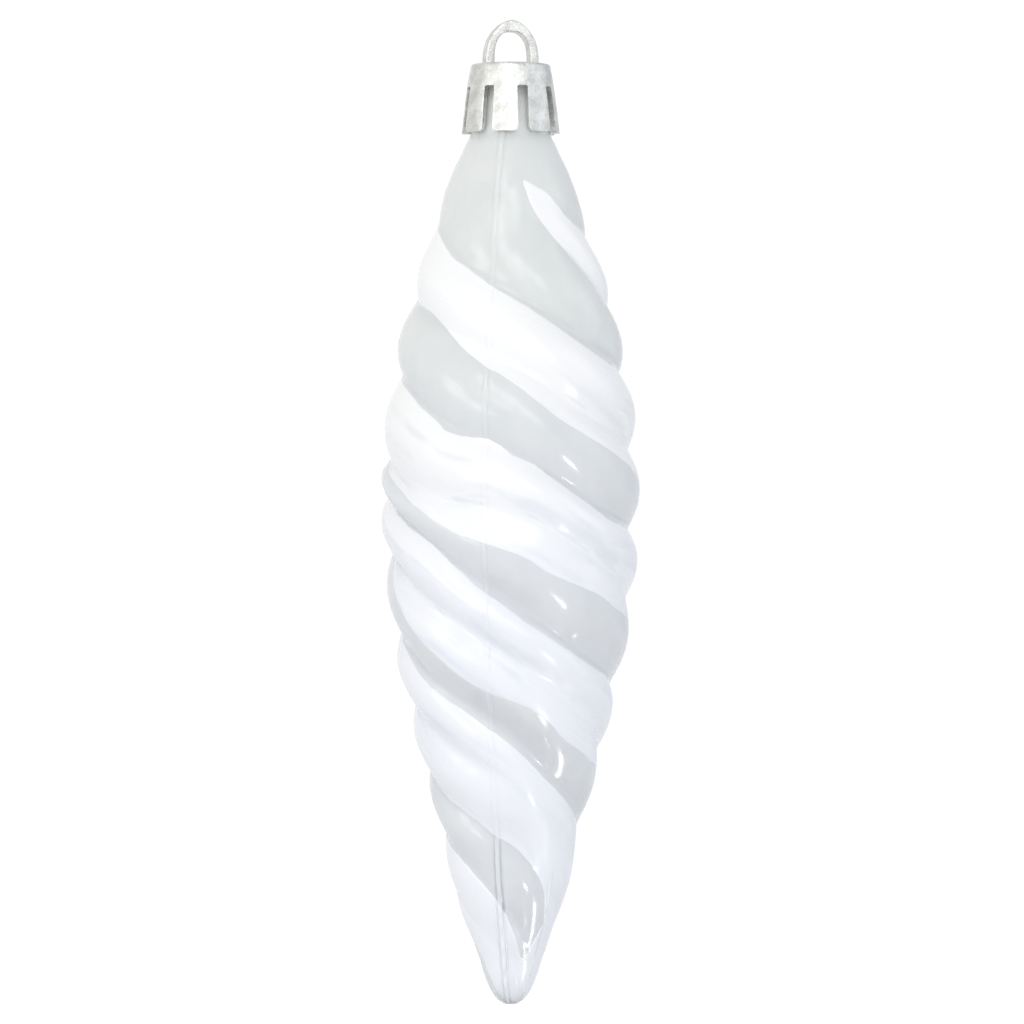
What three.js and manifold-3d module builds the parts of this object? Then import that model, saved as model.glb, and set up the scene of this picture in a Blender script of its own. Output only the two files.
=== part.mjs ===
// Icicle hanging ornament: a hollow twisted-rope spindle of milky plastic with two white
// helical paint bands, hung from a metallised crown cap with a flat arched loop.
// Millimetres, +Z up. The origin is the point under the loop's crown where a hook bears,
// on the ornament's axis. A "drop" is a distance below it, so it is a negative Z.
// -Y is the front. A "turn" is an angle in degrees from the front towards +X, counted on
// past 360 as a helix winds down.
import * as THREE from 'three';
import { mergeVertices } from 'three/addons/utils/BufferGeometryUtils.js';
import Module from 'manifold-3d';

const wasm = await Module();
wasm.setup();
const { degToRad, euclideanModulo, smoothstep } = THREE.MathUtils;

// ---------------------------------------------------------------- body dimensions
const FACETS = 30;              // round the body
const WALL = 1.0;
const TIP = 134.14;             // drop of the pinched tip
const NECK_TOP = 6.6;           // drop of the neck's mouth
const NECK_R = 4.2;             // neck, outside
const NECK_BEAD_R = 4.3;        // bead near the mouth
const MOUTH_EASE = 0.15;        // the mouth is this much narrower than the neck

// rows of facets: the neck's own stations, these, and even rows between the two lists
const SHOULDER_ROWS = [14.4, 15.6, 17.2];
const EVEN_ROWS = { first: 19.2, before: 129.2, step: 2.8 };
const TIP_ROWS = [130.6, 132.0, 133.2, 133.86];

// the hollow, plain and round
const HOLLOW_ROWS = [
  NECK_TOP, 10.6, 13.4, 17, 24, 31, 38, 46, 55, 64, 73, 82, 90, 98, 106, 113, 119, 123.5,
];
const HOLLOW_END = 125.5;       // drop of its lowest point
const HOLLOW_MIN_R = 0.5;
const HOLLOW_LAG = 0.6;         // near the neck it takes the radius from this much higher
const HOLLOW_LAG_END = 20;      // drop where that stops
const HOLLOW_TUCK = 0.13;       // share it draws in by, to clear the grooves
const HOLLOW_TUCK_IN = [12, 22];    // drops over which the tuck comes in
const HOLLOW_TUCK_OUT = [112, 124]; // and goes

// lobes between the grooves: circle centre and radius as shares of the ridge radius
const LOBE_CENTRE = 0.29;
const LOBE_ROUND = 1 - LOBE_CENTRE;
const LOBES_IN = [20.5, 33];    // drops over which the lobes come in
const LOBES_EASE = [103, 124];  // over which they lose LOBES_LOSS of their depth
const LOBES_LOSS = 0.7;
const LOBES_OUT = [123, 132.5]; // and over which they end
const BODY_INSET = 0.15;        // the lobes stand this far inside the ridge outline

// [drop, outside radius] of the neck
const NECK = [
  [NECK_TOP, NECK_R - MOUTH_EASE], [6.9, NECK_R], [7.4, NECK_BEAD_R], [7.9, NECK_R],
  [8.6, 4.35], [9.6, 4.75], [10.6, 5.0], [11.8, 5.2], [13.0, 5.38], [13.8, 5.49],
];
// [drop, ridge radius] of the body
const ENVELOPE = [
  [14.21, 5.55], [14.63, 5.7], [15.46, 6.14], [17.11, 6.9], [18.77, 7.73], [20.42, 8.42],
  [22.08, 9.04], [23.74, 9.52], [24.84, 9.87], [27.6, 10.76], [30.91, 12.01], [34.78, 13.39],
  [38.64, 14.49], [43.19, 15.59], [48.02, 16.56], [53.54, 17.39], [58.37, 17.8], [63.89, 17.94],
  [68.72, 17.84], [73.83, 17.46], [78.38, 17.0], [82.25, 16.56], [85.97, 15.87], [90.11, 14.97],
  [94.39, 13.87], [98.39, 12.9], [102.95, 11.8], [106.4, 10.76], [109.85, 9.8], [112.88, 9.04],
  [116.47, 8.28], [119.78, 7.31], [123.1, 6.14], [126.41, 4.9], [128.06, 4.28], [129.72, 3.75],
  [131.38, 3.11], [132.48, 2.55], [133.31, 1.93], [133.86, 1.17], [TIP, 0.0],
];

// The grooves between the lobes. path: [turn, drop]; comesIn: turns over which the groove
// comes in at the shoulder; filled: turns between which paint fills it in part
const GROOVES = [
  {
    comesIn: [-10, 40],
    path: [
      [-90, 12.14], [0, 20.15], [45, 24.29], [90, 28.7], [180, 38.9], [270, 47.3], [292, 49.0],
      [315, 52.2], [336, 55.5], [360, 58.0], [384, 61.9], [405, 65.3], [450, 68.7],
      [540, 75.62], [630, 82.66], [669, 88.73], [702, 93.7], [720, 96.46], [746, 101.43],
      [769, 104.6], [810, 109.43], [900, 117.71], [990, 125.3], [1080, 132.2],
    ],
  },
  {
    comesIn: [5, 60],
    filled: [275, 455],
    path: [
      [-180, 5.24], [-90, 13.52], [0, 24.29], [45, 30.36], [90, 38.36], [180, 49.13],
      [270, 59.48], [315, 63.62], [360, 66.65], [405, 72.45], [450, 78.52], [540, 90.8],
      [630, 101.57], [667, 107.64], [692, 110.4], [732, 113.3], [749, 115.92], [765, 118.4],
      [810, 123.92], [900, 132.2],
    ],
  },
  {
    comesIn: [-150, -110],
    path: [
      [-180, 21.0], [-135, 23.3], [-90, 26.1], [-62, 28.8], [-45, 30.9], [0, 36.3],
      [45, 42.5], [90, 47.0], [180, 55.48], [270, 63.34], [292, 66.5], [319, 70.5],
      [334, 73.6], [360, 78.7], [389, 83.7], [408, 86.2], [450, 90.1], [540, 101.15],
      [630, 110.54], [666, 113.16], [694, 118.27], [720, 122.54], [765, 128.75], [810, 133.58],
    ],
  },
  {
    comesIn: [-120, -60],
    filled: [275, 455],
    path: [
      [-180, 26.77], [-90, 36.71], [-45, 40.85], [0, 46.09], [45, 53.13], [90, 57.68],
      [180, 64.58], [270, 71.35], [315, 78.38], [360, 85.84], [405, 92.74], [450, 99.36],
      [540, 108.74], [630, 118.4], [720, 128.06], [810, 134.96],
    ],
  },
];
const FILL = { share: 0.5, easeIn: 40, easeOut: 35 }; // share of depth lost, ramps in degrees

// [turn, drop] of a fifth groove that starts at the back and splits one lobe in two below it
const FORK = [
  [520, 82.52], [540, 83.9], [630, 92.74], [670, 97.29], [705, 101.43], [727, 103.36],
  [765, 109.57], [810, 115.37], [900, 124.61], [990, 132.2],
];
const FORK_IN = [540, 625];     // turns over which it comes in
const FORK_OUT = [655, 740];    // and fades away
const FORK_LAST = 1080;         // turn from which it is left out

// ---------------------------------------------------------------- paint dimensions
const COAT_GAP = 0.1;           // the paint coat stands off the body by this
const COAT = 0.2;               // and is this thick
const SLAB = {
  steps: 3,                     // divisions between a band's two edges
  minHeight: 0.8,
  minR: 0.6,
  inward: 1.6,                  // reach inside and outside the body's surface
  outward: 2.0,
};
// from, to: turns between which the band runs; top, foot: [turn, drop] of its two edges
const BAND_A = {
  from: 20,
  to: 900,
  top: [
    [9, 20.7], [16, 21.3], [36, 23.87], [64, 27.05], [90, 29.12], [180, 39.33], [270, 47.6],
    [292, 49.4], [310, 52.0], [321, 53.8], [328, 55.2], [336, 55.9], [347, 56.2], [353, 56.9],
    [361, 58.4], [372, 59.9], [384, 62.3], [399, 64.8], [414, 67.3], [450, 69.2],
    [540, 76.31], [630, 83.08], [669, 89.98], [687, 92.6], [702, 94.94], [712, 96.46],
    [733, 100.19], [746, 102.67], [769, 105.71], [810, 110.12], [900, 118.68], [960, 124.61],
  ],
  foot: [
    [9, 22.2], [13, 24.2], [19, 26.0], [29, 28.1], [49, 32.0], [70, 35.6], [90, 39.19],
    [180, 50.09], [262, 60.0], [275, 61.9], [294, 63.5], [313, 66.1], [329, 68.72],
    [346, 70.52], [366, 72.45], [377, 74.52], [391, 76.18], [414, 78.66], [424, 80.04],
    [450, 82.11], [540, 92.46], [630, 101.71], [667, 107.92], [692, 110.54], [732, 113.44],
    [746, 115.8], [757, 118.7], [762, 120.6], [764.5, 122.4], [766, 128.0], [767.5, 132.0],
    [771, 133.6], [800, 133.84], [960, 133.84],
  ],
};
const BAND_B = {
  from: -160,
  to: 756,
  top: [
    [-168, 21.67], [-130, 23.6], [-90, 26.4], [-62, 29.1], [-47, 31.1], [-35, 32.43],
    [-22, 33.95], [-13, 35.33], [0, 36.98], [14, 38.92], [27, 40.99], [39, 42.92],
    [54, 44.99], [67, 46.23], [90, 47.47], [180, 56.03], [270, 63.48], [292, 67.34],
    [319, 71.07], [334, 74.38], [346, 76.73], [354, 78.25], [370, 81.42], [389, 84.46],
    [408, 86.94], [425, 88.46], [450, 90.53], [540, 101.57], [630, 110.81], [666, 113.99],
    [684, 117.58], [694, 119.23], [705, 120.6], [715, 122.6], [726, 125.6], [733, 127.9],
    [738, 129.2], [743, 129.0], [754, 126.6], [762, 123.9], [766, 122.6],
  ],
  foot: [
    [-168, 22.22], [-130, 30.08], [-90, 36.85], [-55, 38.92], [-22, 44.99], [0, 48.71],
    [27, 54.51], [55, 58.51], [90, 62.93], [180, 67.76], [270, 71.76], [291, 78.25],
    [316, 85.01], [344, 90.39], [371, 93.01], [398, 97.84], [437, 101.57], [450, 102.81],
    [540, 112.88], [612, 118.6], [630, 121.9], [645, 125.2], [656, 127.5], [668, 130.4],
    [680, 132.5], [700, 133.6], [766, 133.84],
  ],
};

// ---------------------------------------------------------------- curve helpers
// monotone cubic through [x, y] points, straight beyond both ends
function curve(points) {
  const last = points.length - 1;
  const xs = points.map((point) => point[0]);
  const ys = points.map((point) => point[1]);
  const chords = [];
  for (let i = 0; i < last; i++) chords.push((ys[i + 1] - ys[i]) / (xs[i + 1] - xs[i]));
  const slopes = [chords[0]];
  for (let i = 1; i < last; i++) {
    const product = chords[i - 1] * chords[i];
    slopes.push(product <= 0 ? 0 : (2 * product) / (chords[i - 1] + chords[i]));
  }
  slopes.push(chords[last - 1]);
  return (x) => {
    if (x <= xs[0]) return ys[0] + slopes[0] * (x - xs[0]);
    if (x >= xs[last]) return ys[last] + slopes[last] * (x - xs[last]);
    let i = 0;
    while (x > xs[i + 1]) i++;
    const width = xs[i + 1] - xs[i];
    const s = (x - xs[i]) / width;
    const s2 = s * s;
    const s3 = s2 * s;
    return ys[i] * (2 * s3 - 3 * s2 + 1)
      + slopes[i] * width * (s3 - 2 * s2 + s)
      + ys[i + 1] * (3 * s2 - 2 * s3)
      + slopes[i + 1] * width * (s3 - s2);
  };
}

// 0 before the span, 1 after it
const ramp = ([start, end], value) => smoothstep(value, start, end);

// ---------------------------------------------------------------- mesh helpers
function polar(turn, radius, drop) {
  const angle = degToRad(turn);
  return [radius * Math.sin(angle), -radius * Math.cos(angle), -drop];
}

// a closed indexed geometry with its faces pointing out
function closed(positions, triangles) {
  const corner = (i) => new THREE.Vector3().fromArray(positions, 3 * i);
  let volume = 0;
  for (const [i, j, k] of triangles) volume += corner(i).dot(corner(j).cross(corner(k)));
  const geometry = new THREE.BufferGeometry();
  geometry.setAttribute('position', new THREE.Float32BufferAttribute(positions, 3));
  geometry.setIndex(triangles.flatMap(([i, j, k]) => (volume < 0 ? [i, k, j] : [i, j, k])));
  return geometry;
}

// welds a geometry's seams and drops the triangles that collapse
function tidy(geometry) {
  const bare = geometry.clone();
  bare.deleteAttribute('normal');
  bare.deleteAttribute('uv');
  const merged = mergeVertices(bare, 1e-4);
  const index = merged.index.array;
  const triangles = [];
  for (let i = 0; i < index.length; i += 3) {
    const [a, b, c] = index.slice(i, i + 3);
    if (a !== b && b !== c && a !== c) triangles.push([a, b, c]);
  }
  return closed(Array.from(merged.attributes.position.array), triangles);
}

function solid(geometry) {
  const { attributes, index } = tidy(geometry);
  return new wasm.Manifold(new wasm.Mesh({
    numProp: 3,
    vertProperties: new Float32Array(attributes.position.array),
    triVerts: new Uint32Array(index.array),
  }));
}

function fromSolid(manifold) {
  const mesh = manifold.getMesh();
  const positions = Array.from(mesh.vertProperties);
  const geometry = new THREE.BufferGeometry();
  geometry.setAttribute('position', new THREE.Float32BufferAttribute(positions, 3));
  geometry.setIndex(Array.from(mesh.triVerts));
  return geometry;
}

// collects rings of FACETS points about the axis, strips between rings, and end fans
function ringMesh() {
  const positions = [];
  const triangles = [];
  return {
    ring(radii, drop) {
      const first = positions.length / 3;
      radii.forEach((radius, i) => positions.push(...polar((i * 360) / FACETS, radius, drop)));
      return first;
    },
    strip(a, b) {
      for (let i = 0; i < FACETS; i++) {
        const j = (i + 1) % FACETS;
        triangles.push([a + i, b + i, b + j], [a + i, b + j, a + j]);
      }
    },
    fan(ring, drop, facesUp) {
      const centre = positions.length / 3;
      positions.push(0, 0, -drop);
      for (let i = 0; i < FACETS; i++) {
        const j = (i + 1) % FACETS;
        triangles.push(facesUp ? [ring + j, centre, ring + i] : [ring + i, centre, ring + j]);
      }
    },
    geometry: () => closed(positions, triangles),
  };
}

// ---------------------------------------------------------------- body surface
const ridge = curve([...NECK, ...ENVELOPE]);
const grooves = GROOVES.map((groove) => ({ ...groove, dropAt: curve(groove.path) }));
const forkDrop = curve(FORK);

// share of the ridge radius at a place between a groove (0) and the ridge (0.5)
function lobe(place) {
  const angle = ((0.5 - place) * Math.PI) / 2;
  return LOBE_CENTRE * Math.cos(angle)
    + Math.sqrt(LOBE_ROUND ** 2 - (LOBE_CENTRE * Math.sin(angle)) ** 2);
}

// place of a drop between the groove levels above and below it, as lobe() takes it
function placeBetween(levels, drop) {
  const above = Math.max(...levels.filter((level) => level <= drop));
  const below = Math.min(...levels.filter((level) => level > drop));
  if (above === -Infinity || below === Infinity) return 0.5;
  const part = (drop - above) / (below - above);
  return Math.min(part, 1 - part);
}

function grooveStrength({ comesIn, filled }, turn) {
  const strength = ramp(comesIn, turn);
  if (!filled) return strength;
  const [start, end] = filled;
  const fillIn = ramp([start, start + FILL.easeIn], turn);
  const fillOut = ramp([end - FILL.easeOut, end], turn);
  return strength * (1 - FILL.share * fillIn * (1 - fillOut));
}

// share of the ridge radius left by the grooves; the nearest groove sets the strength
function grooveShare(angle, drop) {
  const levels = [];
  const forkLevels = [];
  let strength = 1;
  let nearest = Infinity;
  let forkStrength = 0;
  let nearestFork = Infinity;
  for (let lap = -2; lap <= 5; lap++) {
    const turn = angle + 360 * lap;
    for (const groove of grooves) {
      const level = groove.dropAt(turn);
      const distance = Math.abs(level - drop);
      levels.push(level);
      if (distance < nearest) {
        nearest = distance;
        strength = grooveStrength(groove, turn);
      }
    }
    if (turn > FORK_IN[0] && turn < FORK_LAST) {
      const level = forkDrop(turn);
      const distance = Math.abs(level - drop);
      forkLevels.push(level);
      if (distance < nearestFork) {
        nearestFork = distance;
        forkStrength = ramp(FORK_IN, turn) * (1 - ramp(FORK_OUT, turn));
      }
    }
  }
  const share = 1 - (1 - lobe(placeBetween(levels, drop))) * strength;
  const forked = lobe(placeBetween([...levels, ...forkLevels], drop));
  return share + forkStrength * (forked - share);
}

function bodyRadius(angle, drop) {
  const full = ridge(drop);
  const depth = ramp(LOBES_IN, drop)
    * (1 - LOBES_LOSS * ramp(LOBES_EASE, drop))
    * (1 - ramp(LOBES_OUT, drop));
  if (depth <= 0) return full;
  return full * (1 - depth * (1 - grooveShare(angle, drop))) - BODY_INSET * depth;
}

const rowDrops = [...NECK.map(([drop]) => drop), ...SHOULDER_ROWS];
for (let drop = EVEN_ROWS.first; drop < EVEN_ROWS.before; drop += EVEN_ROWS.step) {
  rowDrops.push(drop);
}
rowDrops.push(...TIP_ROWS);
const rowRadii = rowDrops.map((drop) => (
  Array.from({ length: FACETS }, (_, i) => bodyRadius((i * 360) / FACETS, drop))
));

// adds the body's outside, grown outwards by offset; returns its first and last rings
function addOutside(mesh, offset) {
  const rings = rowDrops.map((drop, row) => (
    mesh.ring(rowRadii[row].map((radius) => radius + offset), drop)
  ));
  for (let row = 1; row < rings.length; row++) mesh.strip(rings[row - 1], rings[row]);
  return [rings[0], rings[rings.length - 1]];
}

// ---------------------------------------------------------------- hollow body
function hollowRadius(drop) {
  const tuck = HOLLOW_TUCK * ramp(HOLLOW_TUCK_IN, drop) * (1 - ramp(HOLLOW_TUCK_OUT, drop));
  const lag = drop < HOLLOW_LAG_END ? HOLLOW_LAG : 0;
  return Math.max(HOLLOW_MIN_R, ridge(drop - lag) * (1 - tuck) - WALL);
}

function shellGeometry() {
  const mesh = ringMesh();
  const [mouth, end] = addOutside(mesh, 0);
  mesh.fan(end, TIP, false);
  let above = mouth;
  for (const drop of HOLLOW_ROWS) {
    const next = mesh.ring(new Array(FACETS).fill(hollowRadius(drop)), drop);
    mesh.strip(next, above);
    above = next;
  }
  mesh.fan(above, HOLLOW_END, true);
  return mesh.geometry();
}

// ---------------------------------------------------------------- paint bands
// radius of the faceted body on one meridian
function facetRadius(meridian, drop) {
  let row = 0;
  while (row < rowDrops.length - 2 && drop > rowDrops[row + 1]) row++;
  const part = (drop - rowDrops[row]) / (rowDrops[row + 1] - rowDrops[row]);
  const s = Math.min(1, Math.max(0, part));
  return rowRadii[row][meridian] * (1 - s) + rowRadii[row + 1][meridian] * s;
}

// the body without its hollow, grown outwards by offset
function grownBody(offset) {
  const mesh = ringMesh();
  const [mouth, end] = addOutside(mesh, offset);
  mesh.fan(mouth, NECK_TOP, true);
  mesh.fan(end, TIP + offset, false);
  return solid(mesh.geometry());
}

// a thick helical strip that holds everything between a band's two edges
function helixSlab({ top, foot, from, to }) {
  const topDrop = curve(top);
  const footDrop = curve(foot);
  const turnStep = 360 / FACETS;
  const { steps } = SLAB;
  const positions = [];
  const triangles = [];
  const rows = [];
  const addPoint = (turn, radius, drop) => {
    positions.push(...polar(turn, radius, drop));
    return positions.length / 3 - 1;
  };
  const quad = (a, b, c, d) => triangles.push([a, b, c], [a, c, d]);

  for (let turn = Math.ceil(from / turnStep) * turnStep; turn <= to + 1e-6; turn += turnStep) {
    const meridian = euclideanModulo(Math.round(turn / turnStep), FACETS);
    const start = topDrop(turn);
    const end = Math.max(footDrop(turn), start + SLAB.minHeight);
    const row = { inner: [], outer: [] };
    for (let s = 0; s <= steps; s++) {
      const drop = start + ((end - start) * s) / steps;
      const radius = facetRadius(meridian, drop);
      row.inner.push(addPoint(turn, Math.max(SLAB.minR, radius - SLAB.inward), drop));
      row.outer.push(addPoint(turn, radius + SLAB.outward, drop));
    }
    rows.push(row);
  }

  for (let k = 0; k < rows.length - 1; k++) {
    const { inner, outer } = rows[k];
    const next = rows[k + 1];
    for (let s = 0; s < steps; s++) {
      quad(outer[s], outer[s + 1], next.outer[s + 1], next.outer[s]);
      quad(inner[s], next.inner[s], next.inner[s + 1], inner[s + 1]);
    }
    quad(inner[0], outer[0], next.outer[0], next.inner[0]);
    quad(outer[steps], inner[steps], next.inner[steps], next.outer[steps]);
  }
  const first = rows[0];
  const last = rows[rows.length - 1];
  for (let s = 0; s < steps; s++) {
    quad(first.inner[s], first.inner[s + 1], first.outer[s + 1], first.outer[s]);
    quad(last.inner[s], last.outer[s], last.outer[s + 1], last.inner[s + 1]);
  }
  return closed(positions, triangles);
}

const coat = grownBody(COAT_GAP + COAT).subtract(grownBody(COAT_GAP));
const bandGeometry = (band) => fromSolid(coat.intersect(solid(helixSlab(band))));

// ---------------------------------------------------------------- hanging loop
const LOOP_TURN = 14;           // degrees the loop's plane is turned about Z
const LOOP_DEPTH = 2.3;
const FOOT_IN = 2.5;            // leg, inner and outer faces from the axis
const FOOT_OUT = 3.78;
const FOOT_END = 6.1;           // drop of the feet's ends, inside the cap
const BARB = 0.32;              // how far each foot's barb stands out
const BARB_ROOT = 0.42;         // heights of its root and point above the foot's end
const BARB_POINT = 0.3;

// half outline as [distance from axis, z], crown to foot outside, then back up the inside
// to the flat hook seat
const LOOP_HALF = [
  [0, 1.62], [0.94, 1.36], [1.84, 0.76], [2.5, 0.06], [2.97, -0.62], [3.36, -1.38],
  [3.62, -2.4], [3.75, -3.4], [FOOT_OUT, -4.3],
  [FOOT_OUT, BARB_ROOT - FOOT_END], [FOOT_OUT + BARB, BARB_POINT - FOOT_END],
  [FOOT_OUT, -FOOT_END], [FOOT_IN, -FOOT_END],
  [FOOT_IN, -3.5], [2.42, -2.5], [2.25, -1.7], [1.98, -1.1], [1.6, -0.62], [1.12, -0.22],
  [0.6, 0],
];

function loopGeometry() {
  const mirrored = LOOP_HALF.slice(1).reverse().map(([x, z]) => [-x, z]);
  const outline = [...LOOP_HALF, ...mirrored].map(([x, z]) => new THREE.Vector2(x, z));
  const geometry = new THREE.ExtrudeGeometry(new THREE.Shape(outline), {
    depth: LOOP_DEPTH,
    bevelEnabled: false,
  });
  geometry.translate(0, 0, -LOOP_DEPTH / 2);
  geometry.rotateX(Math.PI / 2);
  return tidy(geometry);
}

// ---------------------------------------------------------------- crown cap
const CAP_TOP = 4.5;            // drop of the cap's top face
const CAP_H = 9.55;
const CAP_WALL = 0.9;
const CAP_TOP_R = 5.58;
const CAP_SLOT_R = 6.0;         // outside radius level with the slot tops
const CAP_FOOT_R = 6.77;
const CAP_EDGE = [[0.5, 0], [0.15, 0.15], [0, 0.55]]; // [inset, drop] of the eased top edge
const CAP_INNER_EASE = 0.4;     // chamfer inside the top corner

const FINGERS = 8;
const SLOT_TOP = 7.73;          // drop of the slot tops
const SLOT_W = 1.5;
const SLOT_EASE = 0.28;         // radius of a slot's top corners
const FINGER_CORNER = 0.55;     // radius of a finger's foot corners
const SLOT_PHASE = 16.1;        // turn of the first slot's centre
const SLOT_CUT = { start: 3.2, depth: 5, overrun: 1 }; // cutter from the axis, and past the foot

const FOOT_CLEAR = 0.2;         // opening round each foot of the loop
const HOLE_H = 4;

function capBlank() {
  const top = -CAP_TOP;
  const foot = top - CAP_H;
  const innerR = CAP_TOP_R - CAP_WALL;
  const ceiling = top - CAP_WALL;
  const profile = [
    [0, top],
    ...CAP_EDGE.map(([inset, drop]) => [CAP_TOP_R - inset, top - drop]),
    [CAP_SLOT_R, -SLOT_TOP],
    [CAP_FOOT_R, foot],
    [CAP_FOOT_R - CAP_WALL, foot],
    [CAP_SLOT_R - CAP_WALL, -SLOT_TOP],
    [innerR, ceiling - CAP_INNER_EASE],
    [innerR - CAP_INNER_EASE, ceiling],
    [0, ceiling],
  ].map(([x, y]) => new THREE.Vector2(x, y));
  const lathe = new THREE.LatheGeometry(profile, 32);
  lathe.rotateX(Math.PI / 2);
  return solid(lathe);
}

// a slot at the front, opening out at the foot so that each finger's corners are round
function slotCutter() {
  const half = SLOT_W / 2;
  const wide = half + FINGER_CORNER;
  const top = -SLOT_TOP;
  const foot = -(CAP_TOP + CAP_H);
  const footArcY = foot + FINGER_CORNER;
  const right = Math.PI / 2;
  const shape = new THREE.Shape();
  shape.moveTo(-wide, foot - SLOT_CUT.overrun);
  shape.lineTo(-wide, foot);
  shape.absarc(-wide, footArcY, FINGER_CORNER, -right, 0, false);
  shape.lineTo(-half, top - SLOT_EASE);
  shape.absarc(-half + SLOT_EASE, top - SLOT_EASE, SLOT_EASE, Math.PI, right, true);
  shape.lineTo(half - SLOT_EASE, top);
  shape.absarc(half - SLOT_EASE, top - SLOT_EASE, SLOT_EASE, right, 0, true);
  shape.lineTo(half, footArcY);
  shape.absarc(wide, footArcY, FINGER_CORNER, Math.PI, 3 * right, false);
  shape.lineTo(wide, foot - SLOT_CUT.overrun);
  const cutter = new THREE.ExtrudeGeometry(shape, {
    depth: SLOT_CUT.depth,
    bevelEnabled: false,
    curveSegments: 2,
  });
  cutter.rotateX(Math.PI / 2);            // the extrusion now runs towards -Y
  cutter.translate(0, -SLOT_CUT.start, 0);
  return cutter;
}

function capGeometry() {
  let cap = capBlank();
  const cutter = slotCutter();
  for (let k = 0; k < FINGERS; k++) {
    const slot = cutter.clone().rotateZ(degToRad(SLOT_PHASE + (k * 360) / FINGERS));
    cap = cap.subtract(solid(slot));
  }
  // two openings for the loop's feet
  const holeWidth = FOOT_OUT - FOOT_IN + 2 * FOOT_CLEAR;
  for (const side of [-1, 1]) {
    const hole = new THREE.BoxGeometry(holeWidth, LOOP_DEPTH + 2 * FOOT_CLEAR, HOLE_H);
    hole.translate((side * (FOOT_IN + FOOT_OUT)) / 2, 0, -CAP_TOP);
    hole.rotateZ(degToRad(LOOP_TURN));
    cap = cap.subtract(solid(hole));
  }
  return fromSolid(cap);
}

// ---------------------------------------------------------------- materials
const plain = (color, roughness, metalness) => (
  new THREE.MeshStandardMaterial({ color, roughness, metalness })
);
const milky = plain(0xdfe5e1, 0.22, 0);
const white = plain(0xf6f6fa, 0.45, 0);
const silver = plain(0xc9c9c2, 0.35, 0.9);

// ---------------------------------------------------------------- assembly
function piece(name, geometry, material) {
  const mesh = new THREE.Mesh(geometry, material);
  mesh.name = name;
  return mesh;
}

const icicle = new THREE.Group();
icicle.add(
  piece('icicle_shell', shellGeometry(), milky),
  piece('white_band_a', bandGeometry(BAND_A), white),
  piece('white_band_b', bandGeometry(BAND_B), white),
);

const loop = piece('hanging_loop', loopGeometry(), silver);
loop.rotation.z = degToRad(LOOP_TURN);
const hanger = new THREE.Group();
hanger.add(piece('crown_cap', capGeometry(), silver), loop);

const ornament = new THREE.Group();
ornament.add(icicle, hanger);

export default ornament;
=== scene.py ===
"""Icicle hanging ornament: a hollow lobed body, two white spiral bands, a crown cap and a loop.

It hangs down -Z with its hook seat at the origin. The front is -Y, with +X at the viewer's right.
The ornament is in millimetres, the stage in metres. A drop is a depth below the hook seat. A turn
is an angle from the front towards +X in degrees, counted on past 360 as a groove winds down.
"""
import math

import bmesh
import bpy
import numpy as np
from mathutils import Matrix, Vector

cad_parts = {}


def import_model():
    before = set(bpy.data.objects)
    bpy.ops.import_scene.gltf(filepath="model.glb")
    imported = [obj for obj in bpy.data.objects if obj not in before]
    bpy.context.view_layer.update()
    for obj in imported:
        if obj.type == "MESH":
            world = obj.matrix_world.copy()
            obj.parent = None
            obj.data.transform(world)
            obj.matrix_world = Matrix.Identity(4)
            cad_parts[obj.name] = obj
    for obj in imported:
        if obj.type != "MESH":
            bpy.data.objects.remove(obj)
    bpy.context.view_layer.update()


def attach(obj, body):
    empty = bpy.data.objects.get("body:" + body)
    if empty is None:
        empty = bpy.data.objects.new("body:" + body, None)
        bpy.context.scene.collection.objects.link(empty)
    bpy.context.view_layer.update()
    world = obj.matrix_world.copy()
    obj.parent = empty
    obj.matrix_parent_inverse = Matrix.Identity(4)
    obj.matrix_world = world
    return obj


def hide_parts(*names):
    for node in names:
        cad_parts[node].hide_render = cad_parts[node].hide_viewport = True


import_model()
MM = 0.001

# ---------------------------------------------------------------- form of the body
# Columns: drop, radius over the ridges.
NECK = [
    [6.6, 4.02], [6.75, 4.14], [6.95, 4.2], [7.2, 4.24], [7.45, 4.3], [7.7, 4.26], [8.0, 4.22],
    [8.6, 4.35], [9.6, 4.75], [10.6, 5.0], [11.8, 5.2], [13.0, 5.38], [13.8, 5.49]]
ENVELOPE = [
    [14.21, 5.55], [14.63, 5.7], [15.46, 6.14], [17.11, 6.9], [18.77, 7.73], [20.42, 8.42],
    [22.08, 9.04], [23.74, 9.52], [24.84, 9.87], [27.6, 10.76], [30.91, 12.01], [34.78, 13.39],
    [38.64, 14.49], [43.19, 15.59], [48.02, 16.56], [53.54, 17.39], [58.37, 17.8],
    [63.89, 17.94], [68.72, 17.84], [73.83, 17.46], [78.38, 17.0], [82.25, 16.56],
    [85.97, 15.87], [90.11, 14.97], [94.39, 13.87], [98.39, 12.9], [102.95, 11.8],
    [106.4, 10.76], [109.85, 9.8], [112.88, 9.04], [116.47, 8.28], [119.78, 7.31],
    [123.1, 6.14], [126.41, 4.9], [128.06, 4.28], [129.72, 3.75], [131.38, 3.11],
    [132.48, 2.55], [133.31, 1.93], [133.86, 1.17], [134.14, 0.0]]
NECK_TOP = NECK[0][0]
TIP = ENVELOPE[-1][0]
END_DROP, END_RADIUS = ENVELOPE[-2]     # where the rounded end begins

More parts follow.
